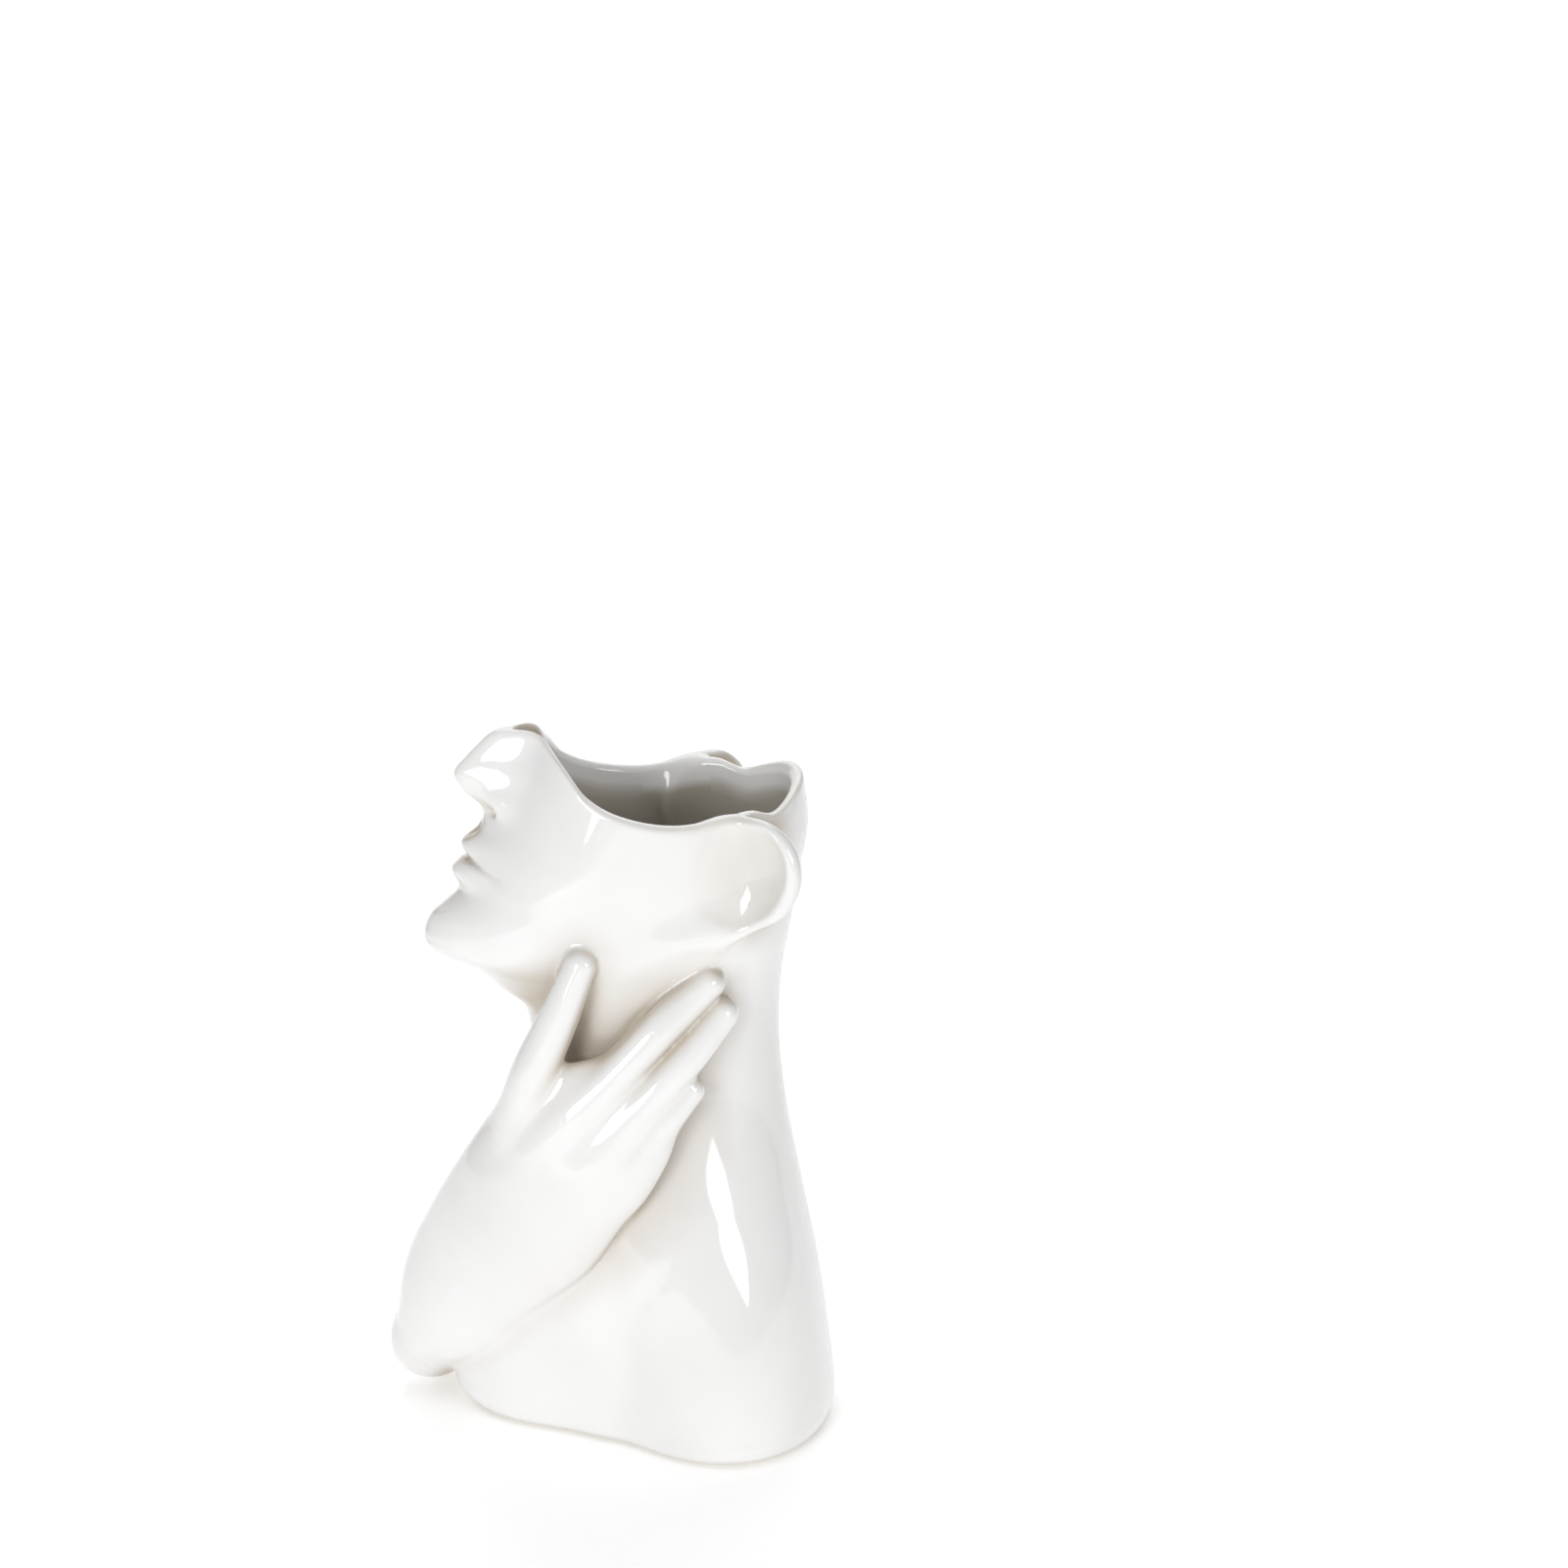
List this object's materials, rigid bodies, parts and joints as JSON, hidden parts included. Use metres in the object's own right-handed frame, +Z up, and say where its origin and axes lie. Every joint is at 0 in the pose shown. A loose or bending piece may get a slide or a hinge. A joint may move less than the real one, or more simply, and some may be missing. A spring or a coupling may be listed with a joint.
{
  "type": "vase",
  "caption": "Bust-shaped white glazed vase: lower half of a face leaning back, open slanting top, ears, neck and shoulders, and a hand laid along the neck.",
  "frame": {"origin": "bottom centre of the bounding box, on the table", "axes": "+Z up, the face looks towards -Y, the figure's left side is +X"},
  "size_m": [0.1036, 0.1352, 0.2205],
  "materials": {
    "glaze": "gloss",
    "dry_foot": "matte"
  },
  "bodies": {
    "root": {"body_shell": "glaze", "arm": "glaze", "hand": "glaze", "thumb": "glaze", "left_ear": "glaze", "right_ear": "glaze", "foot_ring": "dry_foot"}
  },
  "joints": []
}
